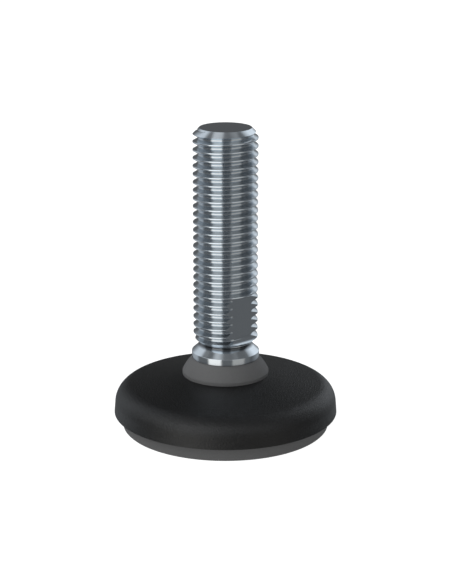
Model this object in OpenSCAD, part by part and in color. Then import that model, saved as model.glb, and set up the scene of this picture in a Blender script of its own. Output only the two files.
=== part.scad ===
// Swivelling machine foot: a threaded spindle on a ball joint in a ribbed plate with a rubber sole.
// The foot stands on z = 0 with the spindle's axis on Z, and every size is in millimetres.

/* [Thread] */
// Outer diameter of the thread
thread_d = 20; // [18:0.5:22]
// Distance from one thread crest to the next
pitch = 2.5; // [1.5:0.25:3]
// Length of the threaded stem, from the groove above the collar to the top face
thread_len = 67.8; // [45:0.1:120]
// Distance from the top face to the middle of the first crest
first_crest = 1.2; // [1:0.1:2]
// Width of the 45 degree chamfer at the top of the stem
end_chamfer = 2; // [1:0.1:3]

/* [Spanner flats] */
// Distance across the two flats
flats_af = 15; // [13:0.5:17]
// Length of the flats, from their shoulder to the start of the cutter's run-out
flats_len = 12; // [6:0.5:20]
// Distance from the groove above the collar to the start of the run-out
flats_up = 4.2; // [3.5:0.1:8]
// Radius that the milling cutter leaves at the lower end of a flat
runout_r = 3; // [2:0.5:4]
// Turn of the flats about the spindle's axis
flats_turn = -48; // [-180:1:180]

/* [Collar] */
// Diameter of the collar
collar_d = 21; // [20:0.5:24]
// Height of the collar's straight rim
collar_rim_h = 2; // [1:0.1:4]
// Height of the cone from the rim up to the groove
collar_cone_h = 2.3; // [1.5:0.1:4]
// Diameter at the bottom of the groove between thread and collar
groove_d = 16; // [14:0.5:16.5]
// Width of the bottom of the groove
groove_w = 0.4; // [0.2:0.1:2]

/* [Ball joint] */
// Diameter of the spindle's ball
ball_d = 16; // [14:0.5:16.5]
// Depth of the ball's centre below the seal's seat on the plate
ball_drop = 3.4; // [3:0.1:4]
// Diameter of the neck between ball and collar
neck_d = 11; // [8:0.5:11]
// Radius of the fillet between neck and collar
neck_fillet_r = 0.8; // [0.4:0.1:0.8]
// Height of the flat that is turned off the bottom of the ball
ball_flat_h = 0.6; // [0.2:0.1:1.5]
// Gap between the ball and what holds it
ball_gap = 0.05; // [0.02:0.01:0.1]
// Gap between the ball and the throat that it is pushed in through
throat_gap = 0.25; // [0.15:0.05:0.4]
// Diameter of the retaining ring's wire
wire_d = 1.5; // [1.2:0.1:1.6]
// How far the ring's middle line stands out past the ball's radius
ring_out = 0.15; // [0:0.05:0.3]
// Gap above and below the ring in its groove
ring_play = 0.07; // [0.03:0.01:0.15]
// Angle of the opening in the ring
ring_gap_deg = 24; // [10:2:40]

/* [Seal] */
// Diameter of the seal's rim on the plate
seal_d = 27; // [26:0.5:29]
// Height of the seal, from the plate to the collar
seal_h = 5.6; // [5.2:0.1:7]
// Height of the seal's straight rim
seal_rim_h = 1.1; // [0.6:0.1:1.6]
// Wall of the seal's cone, measured level
seal_wall = 1.9; // [1.4:0.1:2.2]
// Thickness of the seal's top lip
seal_lip = 1.4; // [0.8:0.1:1.6]
// Gap between the seal's lip and the neck
lip_gap = 0.3; // [0.1:0.05:0.6]
// How far the seal's top stays inside the collar's edge
seal_inset = 0.25; // [0.05:0.05:0.5]
// How far the seal's cone bulges out at half its height
seal_bulge = 0.3; // [0.1:0.05:0.6]

/* [Base plate] */
// Diameter of the plate at its lower edge
plate_d = 70; // [64:1:80]
// Height of the plate, from its lower edge to the seal's seat
plate_h = 12.2; // [11.5:0.1:15]
// Angle at which the top of the plate slopes down
top_slope = 11.1; // [7:0.1:13]
// Lean of the plate's side wall
side_draft = 4.5; // [1:0.5:6]
// Radius of the shoulder between top and side
shoulder_r = 6; // [4:0.5:7]
// Wall of the plate
plate_wall = 3.2; // [2.5:0.1:4]
// Wall round the socket
socket_wall = 3.4; // [3:0.1:4.5]
// Floor under the ball
socket_floor = 2.9; // [2.5:0.1:3.1]
// Height of the socket's neck above the seal's seat
socket_up = 2.1; // [1.9:0.1:2.4]
// Gap between the socket's neck and the seal
seal_room = 0.4; // [0.3:0.05:0.5]
// Number of radial ribs under the plate
rib_count = 12; // [6:6:18]
// Thickness of a rib
rib_t = 2; // [1.5:0.1:3]
// How far the radial ribs end above the plate's lower edge
rib_recess = 0.3; // [0.1:0.1:1]
// Distance from the plate's lower edge in to the ring of peg bosses
peg_inset = 9; // [8.5:0.1:11]

/* [Sole pad] */
// How far the sole's edge lies inside the plate's lower edge
pad_set_in = 2.7; // [2.5:0.1:6]
// Height of the sole that shows below the plate
pad_h = 4.7; // [4:0.1:8]
// How much wider the sole is at its top
pad_flare = 0.2; // [0:0.1:1]
// Width of the chamfer round the sole's lower edge
pad_chamfer = 0.4; // [0.2:0.1:1]
// Gap between the sole and the underside of the socket
pad_gap = 0.1; // [0.05:0.05:0.3]
// Number of ring grooves in the sole
groove_count = 4; // [1:1:5]
// Width of a ring groove
pad_groove_w = 2; // [1:0.25:3]
// Depth of a ring groove
pad_groove_depth = 0.8; // [0.4:0.1:1.2]
// Number of pegs that hold the sole
peg_count = 6; // [3:3:6]
// Diameter of a peg's shank
peg_d = 4; // [3:0.25:4.5]
// Length of a peg above the plate's lower edge
peg_len = 5.5; // [4:0.25:6]
// Number of barbs on a peg
barb_count = 3; // [1:1:3]
// How far a barb stands out from the shank
barb_out = 0.4; // [0.2:0.05:0.5]

/* [Hidden] */
$fn = 96;

// Slack that makes one cut run past a face
past = 1;

// Heights from the floor up
seat_z = pad_h + plate_h;
collar_z = seat_z + seal_h;
rim_top_z = collar_z + collar_rim_h;
groove_low_z = rim_top_z + collar_cone_h;
groove_top_z = groove_low_z + groove_w;
top_z = groove_top_z + thread_len;
ball_z = seat_z - ball_drop;

// Metric thread: 60 degree flanks, a crest flat of an eighth of the pitch and the standard root
thread_r = thread_d / 2;
crest_w = pitch / 8;
thread_depth = 0.61343 * pitch;
root_r = thread_r - thread_depth;
flank_w = thread_depth * tan(30);
crest_count = floor((thread_len - first_crest) / pitch) + 1;

// Spindle
collar_r = collar_d / 2;
groove_r = groove_d / 2;
neck_r = neck_d / 2;
ball_r = ball_d / 2;
flat_x = flats_af / 2;
flats_low_z = groove_top_z + flats_up;

// Socket and ring
cup_r = ball_r + ball_gap;
throat_r = ball_r + throat_gap;
wire_r = wire_d / 2;
ring_r = ball_r + ring_out;
ring_z = ball_z + sqrt(pow(cup_r + wire_r, 2) - pow(ring_r, 2));
ring_groove_h = wire_d + 2 * ring_play;
ring_groove_r = cup_r + wire_d + ring_play;
socket_low_z = ball_z - cup_r - socket_floor;
socket_r = cup_r + socket_wall;
socket_top_z = seat_z + socket_up;

// Seal
seal_r = seal_d / 2;
seal_rim_z = seat_z + seal_rim_h;
seal_top_r = collar_r - seal_inset;
lip_r = neck_r + lip_gap;
seal_inner_r = seal_r - seal_wall;
seal_lip_z = collar_z - seal_lip;
seal_top_inner_r = seal_top_r - seal_wall;

// The socket's neck keeps clear of the seal's inside
neck_base_r = seal_inner_r - seal_room;
neck_lean = (seal_inner_r - seal_top_inner_r) / (seal_lip_z - seal_rim_z);
neck_top_r = neck_base_r - (socket_top_z - seal_rim_z) * neck_lean;

// Pegs of the sole, and the bores in the plate that their barbs grip
peg_r = peg_d / 2;
barb_gap = 0.03;
barb_r = peg_r + barb_out;
bore_r = barb_r + barb_gap;
bore_room = 0.5;
boss_wall = 1.8;
barb_step = peg_len / (barb_count + 1);

// Plate: the shoulder's arc touches the sloping top and the leaning side
plate_r = plate_d / 2;
arc_drop = shoulder_r / cos(top_slope);
arc_x = (plate_r - shoulder_r / cos(side_draft)
    - (plate_top_z(0) - arc_drop - pad_h) * tan(side_draft))
    / (1 - tan(top_slope) * tan(side_draft));
arc_z = plate_top_z(arc_x) - arc_drop;
boss_ring_r = plate_r - peg_inset;
boss_r = bore_r + boss_wall;
boss_top_z = plate_top_z(boss_ring_r) - plate_wall / 2;

// Sole
pad_r = plate_r - pad_set_in;
groove_step = (pad_r - 2 * pad_groove_w) / (groove_count + 1);

// Height of the plate's top at a distance from the axis
function plate_top_z(x) = seat_z - (x - seal_r) * tan(top_slope);

// Points of one barb whose square shoulder is at a height z
function barb_points(z) = [
    [peg_r, z],
    [barb_r, z],
    [peg_r, z + 2 * barb_out]
];

// Points of one thread groove's edges, from the upper crest to the lower one, below a crest at z
function groove_points(z) = [
    [thread_r, z - crest_w / 2],
    [root_r, z - crest_w / 2 - flank_w],
    [root_r, z - pitch + crest_w / 2 + flank_w],
    [thread_r, z - pitch + crest_w / 2]
];

// Half section of the threaded stem, with the crests running on past both ends
module stem_section() {
    first_z = top_z - first_crest + pitch;
    polygon(concat(
        [[0, first_z]],
        [for (k = [0 : crest_count]) each groove_points(first_z - k * pitch)],
        [[0, first_z - (crest_count + 1) * pitch]]
    ));
}

// Half section of the blank that the stem is cut from: chamfers at both ends
module stem_blank() {
    lead = thread_r - groove_r;
    polygon([
        [0, groove_top_z - past],
        [groove_r, groove_top_z - past],
        [groove_r, groove_top_z],
        [thread_r, groove_top_z + lead],
        [thread_r, top_z - end_chamfer],
        [thread_r - end_chamfer, top_z],
        [0, top_z]
    ]);
}

// Half section of the collar, the neck with its fillet, and the ball with its flat
module lower_section() {
    polygon([
        [0, groove_top_z],
        [groove_r, groove_top_z],
        [groove_r, groove_low_z],
        [collar_r, rim_top_z],
        [collar_r, collar_z],
        [0, collar_z]
    ]);
    translate([0, ball_z])
        square([neck_r, collar_z - ball_z + past]);
    difference() {
        translate([0, collar_z - neck_fillet_r])
            square([neck_r + neck_fillet_r, neck_fillet_r + past]);
        translate([neck_r + neck_fillet_r, collar_z - neck_fillet_r])
            circle(r = neck_fillet_r);
    }
    intersection() {
        translate([0, ball_z])
            circle(r = ball_r);
        translate([0, ball_z - ball_r + ball_flat_h])
            square(ball_d);
    }
}

// Cutter that mills one flat: a straight stretch with a square shoulder and a round run-out
module flat_cutter() {
    translate([flat_x, -thread_d, flats_low_z])
        cube([thread_r, 2 * thread_d, flats_len]);
    translate([flat_x + runout_r, 0, flats_low_z])
        rotate([90, 0, 0])
            cylinder(r = runout_r, h = 2 * thread_d, center = true);
}

module spindle() {
    color([0.72, 0.76, 0.8])
    union() {
        difference() {
            rotate_extrude()
                intersection() {
                    stem_section();
                    stem_blank();
                }
            for (side = [0, 180])
                rotate([0, 0, flats_turn + side])
                    flat_cutter();
        }
        rotate_extrude()
            lower_section();
    }
}

// Split ring of round wire that closes over the ball's shoulder
module retaining_ring() {
    color([0.35, 0.36, 0.38])
    translate([0, 0, ring_z])
        rotate([0, 0, ring_gap_deg / 2])
            rotate_extrude(angle = 360 - ring_gap_deg)
                translate([ring_r, 0])
                    circle(r = wire_r, $fn = 32);
}

// Soft cone between collar and plate, hollow inside, with a lip round the neck
module seal() {
    color([0.33, 0.33, 0.33])
    rotate_extrude()
        polygon([
            [seal_inner_r, seat_z],
            [seal_r, seat_z],
            [seal_r, seal_rim_z],
            [(seal_r + seal_top_r) / 2 + seal_bulge, (seal_rim_z + collar_z) / 2],
            [seal_top_r, collar_z],
            [lip_r + neck_fillet_r, collar_z],
            [lip_r, collar_z - neck_fillet_r],
            [lip_r, seal_lip_z],
            [seal_top_inner_r, seal_lip_z],
            [seal_inner_r, seal_rim_z]
        ]);
}

// Half section of the plate's dome, a set distance inside its outline and down to a given height
module dome_section(inset, low_z) {
    arc_r = shoulder_r - inset;
    side_lean = (arc_z - low_z) * tan(side_draft);
    polygon([
        [0, low_z],
        [arc_x + arc_r / cos(side_draft) + side_lean, low_z],
        [arc_x + arc_r * cos(side_draft), arc_z + arc_r * sin(side_draft)],
        [arc_x, arc_z],
        [arc_x + arc_r * sin(top_slope), arc_z + arc_r * cos(top_slope)],
        [seal_r, seat_z - inset / cos(top_slope)],
        [0, seat_z - inset / cos(top_slope)]
    ]);
    translate([arc_x, arc_z])
        intersection() {
            circle(r = arc_r);
            square(plate_r);
        }
}

// Half section of the socket's walls: the boss below the plate and the neck above it
module socket_outline() {
    translate([0, socket_low_z])
        square([socket_r, seat_z - socket_low_z]);
    polygon([
        [0, seat_z],
        [neck_base_r, seat_z],
        [neck_base_r, seat_z + seal_rim_h],
        [neck_top_r, socket_top_z],
        [0, socket_top_z]
    ]);
}

// Half section of what the ball, its throat and the retaining ring take out of the socket
module socket_hollow() {
    translate([0, ball_z])
        intersection() {
            circle(r = cup_r);
            translate([0, -cup_r])
                square(cup_r);
        }
    translate([0, ball_z])
        square([cup_r, ring_z - ball_z]);
    translate([0, ring_z - ring_groove_h / 2])
        square([ring_groove_r, ring_groove_h]);
    polygon([
        [0, ring_z],
        [throat_r, ring_z],
        [throat_r, socket_top_z - throat_gap],
        [throat_r + throat_gap + past, socket_top_z + past],
        [0, socket_top_z + past]
    ]);
}

// Half section of the plate: its shell and the socket
module plate_section() {
    difference() {
        union() {
            difference() {
                dome_section(0, pad_h);
                dome_section(plate_wall, pad_h - past);
            }
            socket_outline();
        }
        socket_hollow();
    }
}

// Radial ribs from the socket to the side wall, which end inside the plate's wall
module ribs() {
    for (k = [0 : rib_count - 1])
        rotate([90, 0, k * 360 / rib_count])
            linear_extrude(rib_t, center = true)
                difference() {
                    dome_section(plate_wall / 2, pad_h + rib_recess);
                    square([socket_r - socket_wall / 2, seat_z]);
                }
}

// Place one child at each peg
module at_pegs() {
    for (k = [0 : peg_count - 1])
        rotate([0, 0, (k + 0.5) * 360 / peg_count])
            translate([boss_ring_r, 0, 0])
                children();
}

module base_plate() {
    color([0.12, 0.12, 0.12])
    difference() {
        union() {
            rotate_extrude()
                plate_section();
            ribs();
            at_pegs()
                translate([0, 0, pad_h])
                    cylinder(r = boss_r, h = boss_top_z - pad_h);
        }
        at_pegs()
            translate([0, 0, pad_h - past])
                cylinder(r = bore_r, h = past + peg_len + bore_room);
    }
}

// Half section of one peg: a shank with barbs that slope up to a pointed end
module peg_section() {
    polygon(concat(
        [[0, pad_h - past], [peg_r, pad_h - past]],
        [for (k = [1 : barb_count]) each barb_points(pad_h + k * barb_step)],
        [[peg_r, pad_h + peg_len - barb_out], [peg_r - barb_out, pad_h + peg_len], [0, pad_h + peg_len]]
    ));
}

module sole_pad() {
    color([0.33, 0.33, 0.34])
    difference() {
        union() {
            rotate_extrude()
                polygon([
                    [0, 0],
                    [pad_r - pad_chamfer, 0],
                    [pad_r, pad_chamfer],
                    [pad_r + pad_flare, pad_h],
                    [0, pad_h]
                ]);
            at_pegs()
                rotate_extrude()
                    peg_section();
        }
        translate([0, 0, socket_low_z - pad_gap])
            cylinder(r = socket_r + pad_gap, h = pad_h);
        rotate_extrude()
            for (k = [1 : groove_count])
                translate([k * groove_step, -past])
                    square([pad_groove_w, past + pad_groove_depth]);
    }
}

base_plate();
sole_pad();
retaining_ring();
seal();
spindle();
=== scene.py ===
"""Looks of the swivelling machine foot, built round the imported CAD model.

Lengths are in millimetres and are turned into metres where the meshes are made. Bearings are in
degrees round the foot, from its front at -Y towards +X.
"""
import math

import bmesh
import bpy
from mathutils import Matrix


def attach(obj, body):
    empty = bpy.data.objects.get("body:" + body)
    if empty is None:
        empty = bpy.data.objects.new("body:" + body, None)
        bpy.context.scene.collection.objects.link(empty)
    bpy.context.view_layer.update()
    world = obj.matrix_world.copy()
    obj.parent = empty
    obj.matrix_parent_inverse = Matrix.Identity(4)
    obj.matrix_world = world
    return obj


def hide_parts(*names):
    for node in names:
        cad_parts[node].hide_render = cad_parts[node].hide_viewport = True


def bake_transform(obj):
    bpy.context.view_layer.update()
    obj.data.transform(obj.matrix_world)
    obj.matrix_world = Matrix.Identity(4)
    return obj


MM = 0.001

# Sizes of the foot, the same as in the part's source
STEM_TOP = 95.0
GROOVE_TOP, GROOVE_LOW, GROOVE_R = 27.2, 26.8, 8.0
COLLAR_R, COLLAR_TOP, COLLAR_LOW = 10.5, 24.5, 22.5
THREAD_R, PITCH, FIRST_CREST = 10.0, 2.5, 1.2
ROOT_R, ROOT_ROUND, FLANK_ANGLE = 8.466, 0.08, 30
END_CHAMFER = 2.0
FLAT_AF, FLAT_LOW, FLAT_HIGH, RUNOUT_R, FLATS_TURN = 15.0, 31.4, 43.4, 3.0, -48.0
NECK_R, NECK_FILLET = 5.5, 0.8
BALL_R, BALL_Z, BALL_FLAT = 8.0, 13.5, 0.6
SEAL_R, SEAL_LOW, SEAL_RIM_TOP, SEAL_TOP_R = 13.5, 16.9, 18.0, 10.25
SEAL_WALL, SEAL_LIP, LIP_R, SEAL_BULGE = 1.9, 1.4, 5.8, 0.3

# Radii of the small roundings along the edges
STEM_TOP_EDGE, GROOVE_CORNER, COLLAR_EDGE, COLLAR_LOW_EDGE = 0.12, 0.1, 0.14, 0.06
SEAL_RIM_EDGE, SEAL_TOP_EDGE, SEAL_INSIDE = 0.12, 0.1, 0.5

# The thread's crest is broken in small steps, as (past the crest's flat, below the crest)
CREST_BREAK = ((-0.07, 0), (-0.01, 0.012), (0.045, 0.05))

# Its flank starts this far below the crest. Two close rows at each end keep it flat in its
# shading, and the last of them is the start of the root's arc
FLANK_START, FLANK_ROWS = 0.11, (0, 0.03, 0.97)

# The seal's rows of points lie this close, and what is within its skin bulges
SEAL_ROW, SEAL_SKIN = 0.3, 0.4

# Thread beyond each end of the stem, and the room that the cutting tools have past it
SPARE_THREAD, CUT_PAST, CUT_FAR = 4, 1, 25.0

# Steps in one turn and in an arc
TURN_STEPS, THREAD_STEPS, COLLAR_STEPS = 160, 96, 192
ROOT_STEPS, RUNOUT_STEPS, BALL_STEPS = 4, 16, 40

# Points closer than this are one point, in metres
SAME_POINT = 1e-9

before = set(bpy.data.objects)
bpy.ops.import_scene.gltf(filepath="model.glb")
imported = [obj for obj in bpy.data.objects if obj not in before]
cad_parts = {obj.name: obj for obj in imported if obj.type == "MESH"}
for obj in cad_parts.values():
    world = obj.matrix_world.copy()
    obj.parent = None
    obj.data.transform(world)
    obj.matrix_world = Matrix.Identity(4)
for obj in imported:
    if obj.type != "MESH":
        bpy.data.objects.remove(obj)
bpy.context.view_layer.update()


# Meshes

def new_object(name, mesh):
    piece = bpy.data.objects.new(name, mesh)
    bpy.context.scene.collection.objects.link(piece)
    return piece


def mesh_of(name, points, faces):
    """Closed mesh from points in millimetres, with its faces turned outwards."""
    mesh = bpy.data.meshes.new(name)
    mesh.from_pydata([(x * MM, y * MM, z * MM) for x, y, z in points], [], faces)
    form = bmesh.new()
    form.from_mesh(mesh)
    bmesh.ops.remove_doubles(form, verts=form.verts, dist=SAME_POINT)
    bmesh.ops.recalc_face_normals(form, faces=form.faces)
    form.to_mesh(mesh)
    form.free()
    return mesh


def turned(name, outline, steps=TURN_STEPS):
    """Mesh of an (r, z) outline turned about Z. It runs from axis to axis, or closes on itself."""
    from_axis = outline[0][0] == 0 and outline[-1][0] == 0
    rings = outline[1:-1] if from_axis else outline
    points, faces = [], []
    for r, z in rings:
        for k in range(steps):
            a = 2 * math.pi * k / steps
            points.append((r * math.cos(a), r * math.sin(a), z))
    pairs = len(rings) - 1 if from_axis else len(rings)
    for j in range(pairs):
        low, high = j * steps, (j + 1) % len(rings) * steps
        for k in range(steps):
            n = (k + 1) % steps
            faces.append((low + k, low + n, high + n, high + k))
    if from_axis:
        for end, z in ((0, outline[0][1]), ((len(rings) - 1) * steps, outline[-1][1])):
            points.append((0, 0, z))
            for k in range(steps):
                faces.append((end + k, end + (k + 1) % steps, len(points) - 1))
    return mesh_of(name, points, faces)


def rounded(outline, radii, steps=5):
    """The outline with each corner that has a radius replaced by an arc."""
    path = []
    count = len(outline)
    for i, (r, z) in enumerate(outline):
        size = radii.get(i, 0)
        if not size:
            path.append((r, z))
            continue
        before, after = outline[i - 1], outline[(i + 1) % count]
        to_before = (before[0] - r, before[1] - z)
        to_after = (after[0] - r, after[1] - z)
        len_b, len_a = math.hypot(*to_before), math.hypot(*to_after)
        ub = (to_before[0] / len_b, to_before[1] / len_b)
        ua = (to_after[0] / len_a, to_after[1] / len_a)
        half = math.acos(max(-1, min(1, ub[0] * ua[0] + ub[1] * ua[1]))) / 2
        # an arc takes less than half of each edge beside it
        reach = min(size / math.tan(half), 0.45 * len_b, 0.45 * len_a)
        size = reach * math.tan(half)
        mid = (ub[0] + ua[0], ub[1] + ua[1])
        scale = size / math.sin(half) / math.hypot(*mid)
        centre = (r + mid[0] * scale, z + mid[1] * scale)
        start = (r + ub[0] * reach - centre[0], z + ub[1] * reach - centre[1])
        stop = (r + ua[0] * reach - centre[0], z + ua[1] * reach - centre[1])
        a0, a1 = math.atan2(start[1], start[0]), math.atan2(stop[1], stop[0])
        turn = (a1 - a0 + math.pi) % (2 * math.pi) - math.pi
        for k in range(steps + 1):
            a = a0 + turn * k / steps
            path.append((centre[0] + size * math.cos(a), centre[1] + size * math.sin(a)))
    return path


def thread_profile():
    """One pitch of the metric profile as (height, radius), from a crest's middle to the next."""
    flank = math.tan(math.radians(FLANK_ANGLE))
    crest_edge = PITCH / 16
    half = [(0, THREAD_R)]
    half += [(crest_edge + past, THREAD_R - below) for past, below in CREST_BREAK]
    corner_z = crest_edge + (THREAD_R - ROOT_R) * flank
    centre_z, centre_r = corner_z + ROOT_ROUND * flank, ROOT_R + ROOT_ROUND
    high_r, low_r = THREAD_R - FLANK_START, ROOT_R + ROOT_ROUND / 2
    for share in FLANK_ROWS:
        r = high_r + (low_r - high_r) * share
        half.append((crest_edge + (THREAD_R - r) * flank, r))
    for k in range(ROOT_STEPS + 1):
        a = math.radians((90 - FLANK_ANGLE) * (1 - k / ROOT_STEPS))
        half.append((centre_z - ROOT_ROUND * math.sin(a), centre_r - ROOT_ROUND * math.cos(a)))
    middle = [(PITCH / 2, ROOT_R)]
    back = [(PITCH - z, r) for z, r in reversed(half[1:])]
    return half + middle + back


def thread_stock(low, high, steps=THREAD_STEPS):
    """Right-hand helical thread, longer than the stem at both ends."""
    profile = thread_profile()
    rows = len(profile)
    turns = int((high - low) / PITCH) + 1
    # the crest passes the front of the stem, at -Y, where the first crest below the top face is
    front = STEM_TOP - FIRST_CREST - PITCH * (int((STEM_TOP - low) / PITCH) + 1)
    points, faces = [], []
    for i in range(steps * turns + 1):
        a = 2 * math.pi * i / steps
        rise = front + PITCH * i / steps
        x, y = math.sin(a), -math.cos(a)
        for z, r in profile:
            points.append((r * x, r * y, rise + z))

    def at(i, j):
        """A point of the profile, where the row after its last is the first one a turn higher."""
        return i * rows + j if j < rows else (i + steps) * rows

    last = steps * (turns - 1)
    for i in range(last):
        for j in range(rows):
            faces.append((at(i, j), at(i + 1, j), at(i + 1, j + 1), at(i, j + 1)))
    for first in (0, last):
        seam = [at(first, j) for j in range(rows + 1)]
        ring = [at(first + k, 0) for k in range(steps + 1)]
        loop = ring + seam[-2:0:-1]
        points.append((0, 0, points[at(first, 0)][2] + PITCH / 2))
        hub = len(points) - 1
        for k, p in enumerate(loop):
            faces.append((p, loop[(k + 1) % len(loop)], hub))
    used = sorted({p for face in faces for p in face})
    place = {p: k for k, p in enumerate(used)}
    faces = [tuple(place[p] for p in face) for face in faces]
    return mesh_of("thread stock", [points[p] for p in used], faces)


def cut(piece, tool, how):
    """Cut one solid with another, and keep the result as plain mesh."""
    step = piece.modifiers.new("cut", "BOOLEAN")
    step.operation, step.object, step.solver = how, tool, "MANIFOLD"
    graph = bpy.context.evaluated_depsgraph_get()
    mesh = bpy.data.meshes.new_from_object(piece.evaluated_get(graph))
    piece.modifiers.clear()
    old = piece.data
    piece.data = mesh
    bpy.data.meshes.remove(old)
    bpy.data.objects.remove(tool)


def flat_cutter(side):
    """The milling cut of one flat: a square shoulder above and a round run-out below."""
    x0 = FLAT_AF / 2
    outline = [(x0, FLAT_HIGH), (x0, FLAT_LOW)]
    for k in range(1, RUNOUT_STEPS + 1):
        a = math.radians(180 + 90 * k / RUNOUT_STEPS)
        outline.append((x0 + RUNOUT_R + RUNOUT_R * math.cos(a), FLAT_LOW + RUNOUT_R * math.sin(a)))
    outline += [(CUT_FAR, FLAT_LOW - RUNOUT_R), (CUT_FAR, FLAT_HIGH)]
    turn = math.radians(FLATS_TURN + side)
    c, s = math.cos(turn), math.sin(turn)
    points = [(x * c - y * s, x * s + y * c, z) for y in (-CUT_FAR, CUT_FAR) for x, z in outline]
    n = len(outline)
    faces = [tuple(range(n)), tuple(range(n, 2 * n))]
    faces += [(k, (k + 1) % n, n + (k + 1) % n, n + k) for k in range(n)]
    return new_object("flat cutter", mesh_of("flat cutter", points, faces))


def spindle_piece():
    """Threaded stem with its two milled flats, and the collar, neck and ball turned below it."""
    low, high = GROOVE_TOP - SPARE_THREAD, STEM_TOP + SPARE_THREAD
    stem = new_object("spindle_turned", thread_stock(low, high))
    over = THREAD_R + CUT_PAST
    lead = over - GROOVE_R
    blank = [(0, GROOVE_TOP), (GROOVE_R, GROOVE_TOP), (over, GROOVE_TOP + lead),
             (over, STEM_TOP - END_CHAMFER - CUT_PAST), (THREAD_R - END_CHAMFER, STEM_TOP),
             (0, STEM_TOP)]
    blank_mesh = turned("blank", rounded(blank, {4: STEM_TOP_EDGE}))
    cut(stem, new_object("blank", blank_mesh), "INTERSECT")
    for side in (0, 180):
        cut(stem, flat_cutter(side), "DIFFERENCE")
    neck_low = BALL_Z + math.sqrt(BALL_R ** 2 - NECK_R ** 2)
    flat_z = BALL_Z - BALL_R + BALL_FLAT
    flat_r = math.sqrt(BALL_R ** 2 - (BALL_R - BALL_FLAT) ** 2)
    lower = [(0, GROOVE_TOP), (GROOVE_R, GROOVE_TOP), (GROOVE_R, GROOVE_LOW),
             (COLLAR_R, COLLAR_TOP), (COLLAR_R, COLLAR_LOW), (NECK_R, COLLAR_LOW),
             (NECK_R, neck_low)]
    edges = {2: GROOVE_CORNER, 3: COLLAR_EDGE, 4: COLLAR_LOW_EDGE, 5: NECK_FILLET}
    outline = rounded(lower, edges, steps=8)
    start = math.atan2(neck_low - BALL_Z, NECK_R)
    stop = math.atan2(flat_z - BALL_Z, flat_r)
    for k in range(1, BALL_STEPS + 1):
        a = start + (stop - start) * k / BALL_STEPS
        outline.append((BALL_R * math.cos(a), BALL_Z + BALL_R * math.sin(a)))
    outline.append((0, flat_z))
    form = bmesh.new()
    form.from_mesh(stem.data)
    form.from_mesh(turned("collar and ball", outline, COLLAR_STEPS))
    form.to_mesh(stem.data)
    form.free()
    return stem


def seal_piece():
    """Soft hollow cone that bulges a little between its rim and the collar."""
    inner_r, top_inner = SEAL_R - SEAL_WALL, SEAL_TOP_R - SEAL_WALL
    lip_z = COLLAR_LOW - SEAL_LIP
    corners = [(inner_r, SEAL_LOW), (SEAL_R, SEAL_LOW), (SEAL_R, SEAL_RIM_TOP),
               (SEAL_TOP_R, COLLAR_LOW), (LIP_R + NECK_FILLET, COLLAR_LOW),
               (LIP_R, COLLAR_LOW - NECK_FILLET), (LIP_R, lip_z), (top_inner, lip_z),
               (inner_r, SEAL_RIM_TOP)]
    edges = {1: SEAL_RIM_EDGE, 2: SEAL_RIM_EDGE, 3: SEAL_TOP_EDGE, 7: SEAL_INSIDE}
    outline = rounded(corners, edges, steps=6)
    dense = []
    for i, (r, z) in enumerate(outline):
        after = outline[(i + 1) % len(outline)]
        parts = max(1, int(math.dist((r, z), after) / SEAL_ROW))
        for k in range(parts):
            dense.append((r + (after[0] - r) * k / parts, z + (after[1] - z) * k / parts))
    bulged = []
    for r, z in dense:
        along = (z - SEAL_RIM_TOP) / (COLLAR_LOW - SEAL_RIM_TOP)
        outside = r > SEAL_R + (SEAL_TOP_R - SEAL_R) * along - SEAL_SKIN
        push = SEAL_BULGE * math.sin(math.pi * along) if 0 < along < 1 and outside else 0
        bulged.append((r + push, z))
    return new_object("seal_cone", turned("seal", bulged))


def crisp(piece, angle=30):
    """Smooth shading, with the edges sharper than the angle kept."""
    piece.data.shade_smooth()
    piece.data.set_sharp_from_angle(angle=math.radians(angle))


def sharp_round_flats(piece):
    """Edges where a milled flat or its run-out meets the thread stay sharp, however shallow."""
    form = bmesh.new()
    form.from_mesh(piece.data)
    turn = math.radians(FLATS_TURN)
    out = (math.cos(turn), math.sin(turn))
    same_way, on_flat, on_runout = 1e-4, 0.01, 0.03

    def milled(face):
        mid = face.calc_center_median() / MM
        x = abs(mid.x * out[0] + mid.y * out[1])
        faces_out = abs(abs(face.normal.x * out[0] + face.normal.y * out[1]) - 1) < same_way
        from_centre = math.hypot(x - FLAT_AF / 2 - RUNOUT_R, mid.z - FLAT_LOW)
        swept = abs(from_centre - RUNOUT_R) < on_runout and mid.z < FLAT_LOW
        return (faces_out and abs(x - FLAT_AF / 2) < on_flat) or swept

    for edge in form.edges:
        sides = [milled(face) for face in edge.link_faces]
        if len(sides) == 2 and sides[0] != sides[1]:
            edge.smooth = False
    form.to_mesh(piece.data)
    form.free()


# Surface effects that several materials use

def group(name, inputs, outputs):
    tree = bpy.data.node_groups.new(name, "ShaderNodeTree")
    for label, value in inputs.items():
        socket = tree.interface.new_socket(label, in_out="INPUT", socket_type="NodeSocketFloat")
        socket.default_value = value
    for label in outputs:
        tree.interface.new_socket(label, in_out="OUTPUT", socket_type="NodeSocketFloat")
    return tree, tree.nodes.new("NodeGroupInput"), tree.nodes.new("NodeGroupOutput")


def add(tree, kind, settings=None, **sockets):
    node = tree.nodes.new(kind)
    for key, value in (settings or {}).items():
        setattr(node, key, value)
    for key, value in sockets.items():
        node.inputs[key.replace("_", " ")].default_value = value
    return node


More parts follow.
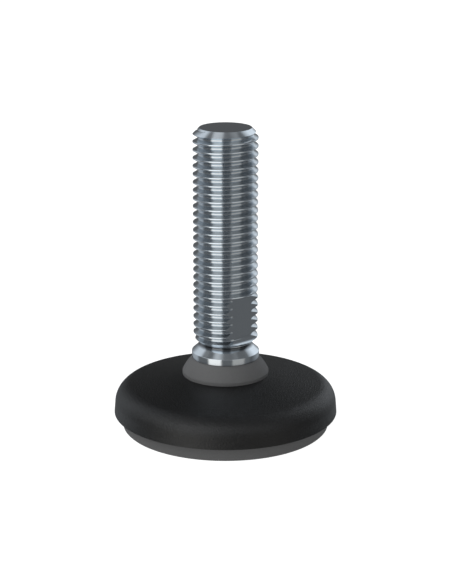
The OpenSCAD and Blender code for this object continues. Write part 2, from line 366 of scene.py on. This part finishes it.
def fine_grain_group():
    """Matte moulding grain: a bump height, a mask of slightly lighter specks, and wide patches."""
    tree, inside, out = group("fine grain", {"Grain Scale": 4000.0, "Patch Scale": 120.0},
                              ["Height", "Specks", "Patches"])
    where = add(tree, "ShaderNodeTexCoord")
    grain = add(tree, "ShaderNodeTexNoise", Detail=3.0, Roughness=0.6)
    patches = add(tree, "ShaderNodeTexNoise", Detail=2.0, Roughness=0.5)
    specks = add(tree, "ShaderNodeMapRange", {"interpolation_type": "SMOOTHSTEP"},
                 From_Min=0.45, From_Max=0.75)
    link = tree.links.new
    link(where.outputs["Object"], grain.inputs["Vector"])
    link(where.outputs["Object"], patches.inputs["Vector"])
    link(inside.outputs["Grain Scale"], grain.inputs["Scale"])
    link(inside.outputs["Patch Scale"], patches.inputs["Scale"])
    link(grain.outputs["Fac"], specks.inputs["Value"])
    link(grain.outputs["Fac"], out.inputs["Height"])
    link(specks.outputs["Result"], out.inputs["Specks"])
    link(patches.outputs["Fac"], out.inputs["Patches"])
    return tree


def turning_marks_group():
    """Fine marks that a lathe tool leaves round the axis, and slow changes in the surface."""
    tree, inside, out = group("turning marks", {"Marks per Metre": 6000.0, "Cloud Scale": 90.0},
                              ["Height", "Clouds"])
    where = add(tree, "ShaderNodeTexCoord")
    split = add(tree, "ShaderNodeSeparateXYZ")
    reach = add(tree, "ShaderNodeVectorMath", {"operation": "LENGTH"})
    level = add(tree, "ShaderNodeCombineXYZ")
    along = add(tree, "ShaderNodeMath", {"operation": "ADD"})
    line = add(tree, "ShaderNodeCombineXYZ")
    marks = add(tree, "ShaderNodeTexNoise", Detail=2.0, Roughness=0.7)
    clouds = add(tree, "ShaderNodeTexNoise", Detail=3.0, Roughness=0.55)
    link = tree.links.new
    link(where.outputs["Object"], split.inputs[0])
    link(split.outputs["X"], level.inputs["X"])
    link(split.outputs["Y"], level.inputs["Y"])
    link(level.outputs[0], reach.inputs[0])
    link(reach.outputs["Value"], along.inputs[0])
    link(split.outputs["Z"], along.inputs[1])
    link(along.outputs[0], line.inputs["Z"])
    link(line.outputs[0], marks.inputs["Vector"])
    link(inside.outputs["Marks per Metre"], marks.inputs["Scale"])
    link(where.outputs["Object"], clouds.inputs["Vector"])
    link(inside.outputs["Cloud Scale"], clouds.inputs["Scale"])
    link(marks.outputs["Fac"], out.inputs["Height"])
    link(clouds.outputs["Fac"], out.inputs["Clouds"])
    return tree


FINE_GRAIN = fine_grain_group()
TURNING_MARKS = turning_marks_group()


# Materials

# Two colours that each finish varies between, from dark to light
ZINC = (0.785, 0.85, 0.908), (0.825, 0.89, 0.948)
SPRING_WIRE = (0.36, 0.36, 0.37), (0.46, 0.46, 0.47)
# Near-black colour that paints shade into the thread's roots, onto its undersides and into the
# undercut
PAINTED_SHADE_COLOUR = (0.02, 0.022, 0.025)

# Share of the painted shade colour in the thread's roots, on its undersides and in the undercut
ROOT_SHADE, UNDERSIDE_SHADE, UNDERCUT_SHADE = 0.1, 0.3, 0.8

# Where each of them starts and where it is full: the depth below the crest, the upward part of
# the face's normal, and the distance from the undercut
ROOT_DEPTHS, DOWNWARD, UNDERCUT_REACH = (0.3, 1), (-0.55, -0.8), (1.3, 0.2)

# The thread starts this far above the groove, for its two masks, and they fade in and out
THREAD_START, FADE_IN, FADE_OUT = 1.5, 1, 0.5


def material(name):
    mat = bpy.data.materials.new(name)
    mat.use_nodes = True
    return mat, mat.node_tree, mat.node_tree.nodes["Principled BSDF"]


def placed(tree, effect, **values):
    node = tree.nodes.new("ShaderNodeGroup")
    node.node_tree = effect
    for key, value in values.items():
        node.inputs[key.replace("_", " ")].default_value = value
    return node


def between(tree, mask, low, high):
    """Mix of two colours by a mask. Each is three numbers or another node's output."""
    mix = add(tree, "ShaderNodeMix", {"data_type": "RGBA"})
    for socket, colour in ((mix.inputs["A"], low), (mix.inputs["B"], high)):
        if isinstance(colour, tuple):
            socket.default_value = (*colour, 1)
        else:
            tree.links.new(colour, socket)
    tree.links.new(mask, mix.inputs["Factor"])
    return mix.outputs["Result"]


def value_by(tree, mask, socket, low, high):
    spread = add(tree, "ShaderNodeMapRange", To_Min=low, To_Max=high)
    tree.links.new(mask, spread.inputs["Value"])
    tree.links.new(spread.outputs["Result"], socket)


def bump_by(tree, shader, height, strength, depth):
    bump = add(tree, "ShaderNodeBump", Strength=strength, Distance=depth)
    tree.links.new(height, bump.inputs["Height"])
    tree.links.new(bump.outputs["Normal"], shader.inputs["Normal"])


def ramp_mask(tree, value, start, stop):
    """Mask that runs from 0 to 1 as a length in millimetres goes from start to stop."""
    mask = add(tree, "ShaderNodeMapRange", {"interpolation_type": "SMOOTHSTEP"},
               From_Min=start * MM, From_Max=stop * MM)
    tree.links.new(value, mask.inputs["Value"])
    return mask.outputs["Result"]


def joined(tree, how, first, second):
    """Two numbers, or outputs of nodes, put through one step of arithmetic."""
    node = add(tree, "ShaderNodeMath", {"operation": how})
    for socket, value in ((node.inputs[0], first), (node.inputs[1], second)):
        if isinstance(value, (int, float)):
            socket.default_value = value
        else:
            tree.links.new(value, socket)
    return node.outputs[0]


def length_of(tree, first, second):
    """Length of the vector with these two parts."""
    squares = [joined(tree, "MULTIPLY", part, part) for part in (first, second)]
    return joined(tree, "SQRT", joined(tree, "ADD", *squares), 0)


def painted_shade_in_recesses(tree):
    """Mask of painted shade: the thread's roots and undersides a little, the undercut more."""
    where = add(tree, "ShaderNodeTexCoord")
    split = add(tree, "ShaderNodeSeparateXYZ")
    tree.links.new(where.outputs["Object"], split.inputs[0])
    x, y, z = (split.outputs[axis] for axis in "XYZ")
    reach = length_of(tree, x, y)

    low, high = GROOVE_TOP + THREAD_START, STEM_TOP - END_CHAMFER
    above, below = ramp_mask(tree, z, low - FADE_IN, low), ramp_mask(tree, z, high, high - FADE_OUT)
    in_thread = joined(tree, "MULTIPLY", above, below)
    deep = ramp_mask(tree, reach, THREAD_R - ROOT_DEPTHS[0], THREAD_R - ROOT_DEPTHS[1])
    roots = joined(tree, "MULTIPLY", deep, in_thread)

    facing = add(tree, "ShaderNodeSeparateXYZ")
    true_normal = add(tree, "ShaderNodeNewGeometry").outputs["True Normal"]
    tree.links.new(true_normal, facing.inputs[0])
    turned_down = add(tree, "ShaderNodeMapRange", From_Min=DOWNWARD[0], From_Max=DOWNWARD[1])
    tree.links.new(facing.outputs["Z"], turned_down.inputs["Value"])
    undersides = joined(tree, "MULTIPLY", turned_down.outputs["Result"], in_thread)

    past_groove = joined(tree, "SUBTRACT", reach, GROOVE_R * MM)
    up_from_groove = joined(tree, "SUBTRACT", z, (GROOVE_TOP + GROOVE_LOW) / 2 * MM)
    undercut = ramp_mask(tree, length_of(tree, past_groove, up_from_groove), *UNDERCUT_REACH)

    parts = ((roots, ROOT_SHADE), (undersides, UNDERSIDE_SHADE), (undercut, UNDERCUT_SHADE))
    thread, underside, groove = (joined(tree, "MULTIPLY", mask, share) for mask, share in parts)
    return joined(tree, "MAXIMUM", joined(tree, "MAXIMUM", thread, underside), groove)


def zinc_plated_steel():
    mat, tree, shader = material("zinc plated steel")
    shader.inputs["Metallic"].default_value = 1.0
    marks = placed(tree, TURNING_MARKS, Marks_per_Metre=5000.0, Cloud_Scale=160.0)
    clouds = marks.outputs["Clouds"]
    # The thread's roots, undersides and undercut are darkened towards the near-black colour as
    # painted shade
    colour = between(tree, painted_shade_in_recesses(tree), between(tree, clouds, *ZINC), PAINTED_SHADE_COLOUR)
    tree.links.new(colour, shader.inputs["Base Color"])
    value_by(tree, clouds, shader.inputs["Roughness"], low=0.11, high=0.16)
    bump_by(tree, shader, marks.outputs["Height"], strength=0.01, depth=0.02 * MM)
    return mat


def spring_steel():
    mat, tree, shader = material("spring steel")
    shader.inputs["Metallic"].default_value = 1.0
    marks = placed(tree, TURNING_MARKS, Marks_per_Metre=3000.0, Cloud_Scale=300.0)
    clouds = marks.outputs["Clouds"]
    tree.links.new(between(tree, clouds, *SPRING_WIRE), shader.inputs["Base Color"])
    value_by(tree, clouds, shader.inputs["Roughness"], low=0.25, high=0.35)
    bump_by(tree, shader, marks.outputs["Height"], strength=0.1, depth=0.02 * MM)
    return mat


def moulded(name, greys, rough, grain, strength, depth, specular):
    """Nylon or rubber from a mould, between two greys and two values of roughness."""
    mat, tree, shader = material(name)
    shader.inputs["Specular IOR Level"].default_value = specular
    skin = placed(tree, FINE_GRAIN, Grain_Scale=grain, Patch_Scale=90.0)
    dark, light = ((grey, grey, grey) for grey in greys)
    tree.links.new(between(tree, skin.outputs["Specks"], dark, light), shader.inputs["Base Color"])
    value_by(tree, skin.outputs["Patches"], shader.inputs["Roughness"], *rough)
    bump_by(tree, shader, skin.outputs["Height"], strength, depth)
    return mat


# Studio

# Tints of the light
COOL, PLAIN, WARM = (0.945, 1.0, 1.055), (0.98, 1.0, 1.02), (1.025, 1.0, 0.955)
DARK = 0.12

# What the foot mirrors round it, layer by layer from below, as (bearing, tint, level)
UNDERNEATH = [
    (-180, COOL, 0.20), (-146, COOL, 0.75), (-118, COOL, 0.62), (-90, COOL, 0.22),
    (-68, COOL, 0.14), (-52, WARM, 0.66), (-21, WARM, 0.66), (-9, PLAIN, 0.12), (17, PLAIN, 0.12),
    (28, WARM, 0.30), (60, WARM, 0.28), (80, PLAIN, 0.08), (96, COOL, 0.18), (116, COOL, 0.60),
    (150, COOL, 0.60), (180, COOL, 0.20)]
SIDES = [
    (-180, PLAIN, 0.13), (-160, COOL, 0.18), (-142, COOL, 0.36), (-114, COOL, 0.38),
    (-101, PLAIN, DARK), (-64, PLAIN, DARK), (-57, WARM, 1.0), (-17, WARM, 0.95),
    (-12, PLAIN, DARK), (21, PLAIN, DARK), (27, WARM, 0.38), (64, WARM, 0.36), (72, PLAIN, 0.13),
    (88, PLAIN, 0.125), (100, PLAIN, 0.085), (120, COOL, 0.19), (145, COOL, 0.30),
    (165, COOL, 0.25), (180, PLAIN, 0.13)]
BACK_BOXES = [
    (-180, PLAIN, 0.09), (-160, PLAIN, 0.12), (-150, COOL, 0.28), (-136, COOL, 0.62),
    (-112, COOL, 0.62), (-100, PLAIN, 0.22), (-68, PLAIN, 0.16), (-57, PLAIN, 1.10),
    (-17, PLAIN, 1.10), (-10, PLAIN, 0.16), (21, PLAIN, 0.16), (27, PLAIN, 0.45),
    (64, PLAIN, 0.40), (72, PLAIN, DARK), (108, PLAIN, DARK), (115, COOL, 0.42), (130, COOL, 0.82),
    (150, COOL, 0.82), (161, COOL, 0.60), (169, PLAIN, 0.09), (180, PLAIN, 0.09)]
BEHIND_LEFT = [
    (-180, PLAIN, 0.02), (-154, PLAIN, 0.03), (-136, COOL, 0.62), (-116, COOL, 0.62),
    (-108, PLAIN, 0.17)]
BEHIND_RIGHT = [
    (108, PLAIN, 0.12), (115, COOL, 0.42), (130, COOL, 0.80), (137, COOL, 0.80),
    (156, PLAIN, 0.04), (180, PLAIN, 0.02)]
SHOULDER_BOXES = BEHIND_LEFT + [
    (-100, PLAIN, 0.20), (-88, PLAIN, 1.30), (-57, PLAIN, 1.70), (-15, PLAIN, 1.60),
    (-6, PLAIN, 0.50), (20, PLAIN, 0.55), (26, PLAIN, 1.00), (60, PLAIN, 0.70),
    (72, PLAIN, 0.15)] + BEHIND_RIGHT
GAP = BEHIND_LEFT + [(-98, PLAIN, 0.13)] + BEHIND_RIGHT
OVERHEAD = [
    (-180, PLAIN, 0.09), (-172, PLAIN, 0.09), (-160, PLAIN, 0.26), (-110, PLAIN, 0.42),
    (-80, PLAIN, 0.55), (-45, PLAIN, 0.46), (-12, PLAIN, 0.16), (45, PLAIN, 0.14),
    (85, PLAIN, 0.26), (120, PLAIN, 0.18), (180, PLAIN, 0.09)]

# Heights on a ball round the foot, of radius 1, between which each layer takes over
LAYERS = [(-0.6, -0.35, SIDES), (-0.15, 0.15, BACK_BOXES), (0.42, 0.55, SHOULDER_BOXES),
          (0.68, 0.80, GAP), (0.86, 0.92, OVERHEAD)]

# Paper: radius in metres, how far it lies below the sole, and its grey, roughness and glow
PAPER_R, PAPER_DROP, PAPER_GREY, PAPER_ROUGH, PAPER_GLOW = 6.0, 0.02, 0.3, 0.9, 0.98

# Key light: width and distance in metres, power in watts, bearing and climb in degrees
KEY_WIDTH, KEY_AWAY, KEY_POWER, KEY_BEARING, KEY_CLIMB = 1.2, 1.0, 3.3, -60, 58

# Camera: lens and film width in millimetres, where it stands, and its tilt in degrees
LENS, FILM_WIDTH = 105.03, 36.0
CAMERA_PLACE, CAMERA_TILT = (0.15, -505.6, 194.04), 73.391


def soft_boxes(tree, round_about, boxes):
    """One layer of the light, as a ramp of colours round the foot."""
    ramp = tree.nodes.new("ShaderNodeValToRGB")
    marks = ramp.color_ramp.elements
    while len(marks) > 1:
        marks.remove(marks[-1])
    for k, (bearing, tint, level) in enumerate(boxes):
        mark = marks[0] if k == 0 else marks.new((bearing + 180) / 360)
        mark.position = (bearing + 180) / 360
        mark.color = (*(part * level for part in tint), 1)
    tree.links.new(round_about, ramp.inputs["Fac"])
    return ramp.outputs["Color"]


def studio_light():
    """Soft boxes round the foot in layers, seen by the metal as bands. The backdrop is white."""
    world = bpy.data.worlds.new("studio")
    bpy.context.scene.world = world
    world.use_nodes = True
    tree = world.node_tree
    link = tree.links.new
    where = add(tree, "ShaderNodeTexCoord")
    split = add(tree, "ShaderNodeSeparateXYZ")
    link(where.outputs["Generated"], split.inputs[0])
    front = joined(tree, "MULTIPLY", split.outputs["Y"], -1)
    bearing = joined(tree, "ARCTAN2", split.outputs["X"], front)
    round_about = add(tree, "ShaderNodeMapRange", From_Min=-math.pi, From_Max=math.pi)
    link(bearing, round_about.inputs["Value"])
    light = soft_boxes(tree, round_about.outputs["Result"], UNDERNEATH)
    for low, high, boxes in LAYERS:
        climb = add(tree, "ShaderNodeMapRange", {"interpolation_type": "SMOOTHSTEP"},
                    From_Min=low, From_Max=high)
        link(split.outputs["Z"], climb.inputs["Value"])
        layer = soft_boxes(tree, round_about.outputs["Result"], boxes)
        light = between(tree, climb.outputs["Result"], light, layer)
    background = tree.nodes["Background"]
    link(light, background.inputs["Color"])
    backdrop = add(tree, "ShaderNodeBackground", Color=(1, 1, 1, 1), Strength=1.0)
    seen = add(tree, "ShaderNodeLightPath")
    choice = add(tree, "ShaderNodeMixShader")
    link(seen.outputs["Is Camera Ray"], choice.inputs[0])
    link(background.outputs[0], choice.inputs[1])
    link(backdrop.outputs[0], choice.inputs[2])
    link(choice.outputs[0], tree.nodes["World Output"].inputs["Surface"])


def white_floor():
    """White paper under the foot, clear from below so that the sole can be looked at."""
    form = bmesh.new()
    bmesh.ops.create_circle(form, cap_ends=True, radius=PAPER_R, segments=64)
    mesh = bpy.data.meshes.new("floor")
    form.to_mesh(mesh)
    form.free()
    floor = new_object("floor", mesh)
    floor.location.z = -PAPER_DROP * MM
    mat, tree, shader = material("white paper")
    shader.inputs["Base Color"].default_value = (PAPER_GREY, PAPER_GREY, PAPER_GREY, 1)
    shader.inputs["Roughness"].default_value = PAPER_ROUGH
    shader.inputs["Emission Color"].default_value = (1, 1, 1, 1)
    shader.inputs["Emission Strength"].default_value = PAPER_GLOW
    clear = tree.nodes.new("ShaderNodeBsdfTransparent")
    side = add(tree, "ShaderNodeNewGeometry")
    choice = add(tree, "ShaderNodeMixShader")
    tree.links.new(side.outputs["Backfacing"], choice.inputs[0])
    tree.links.new(shader.outputs[0], choice.inputs[1])
    tree.links.new(clear.outputs[0], choice.inputs[2])
    tree.links.new(choice.outputs[0], tree.nodes["Material Output"].inputs["Surface"])
    floor.data.materials.append(mat)
    floor.visible_glossy = False


def soft_key():
    """Wide soft light from the left. It shades the plastic and the rubber, and isn't mirrored."""
    lamp = bpy.data.lights.new("key", "AREA")
    lamp.shape, lamp.size, lamp.energy = "DISK", KEY_WIDTH, KEY_POWER
    key = new_object("key", lamp)
    bearing, climb = math.radians(KEY_BEARING), math.radians(KEY_CLIMB)
    level = KEY_AWAY * math.cos(climb)
    key.location = (math.sin(bearing) * level, -math.cos(bearing) * level,
                    KEY_AWAY * math.sin(climb))
    key.rotation_euler = (math.pi / 2 - climb, 0, bearing)
    key.visible_glossy = False


def photo_camera():
    lens = bpy.data.cameras.new("camera")
    lens.lens, lens.sensor_width = LENS, FILM_WIDTH
    lens.clip_start, lens.clip_end = 0.01, 100
    camera = new_object("camera", lens)
    camera.location = tuple(part * MM for part in CAMERA_PLACE)
    camera.rotation_euler = (math.radians(CAMERA_TILT), 0, 0)
    bpy.context.scene.camera = camera


bpy.context.scene.view_settings.view_transform = "Standard"
photo_camera()
studio_light()
white_floor()
soft_key()

zinc = zinc_plated_steel()
nylon = moulded("black nylon", greys=(0.0005, 0.0025), rough=(0.32, 0.40), grain=2200.0,
                strength=1.0, depth=0.18 * MM, specular=0.72)
seal_rubber = moulded("grey seal rubber", greys=(0.112, 0.143), rough=(0.55, 0.65), grain=5000.0,
                      strength=0.3, depth=0.04 * MM, specular=0.5)
sole_rubber = moulded("grey sole rubber", greys=(0.086, 0.101), rough=(0.65, 0.75), grain=4000.0,
                      strength=0.3, depth=0.04 * MM, specular=0.4)

spindle = spindle_piece()
crisp(spindle)
sharp_round_flats(spindle)
spindle.data.materials.clear()
spindle.data.materials.append(zinc)
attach(spindle, "spindle")
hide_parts("spindle")

seal = seal_piece()
crisp(seal)
seal.data.materials.append(seal_rubber)
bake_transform(seal)
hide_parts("seal")

finishes = {"base_plate": nylon, "sole_pad": sole_rubber, "retaining_ring": spring_steel()}
for node, finish in finishes.items():
    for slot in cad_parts[node].material_slots:
        slot.material = finish
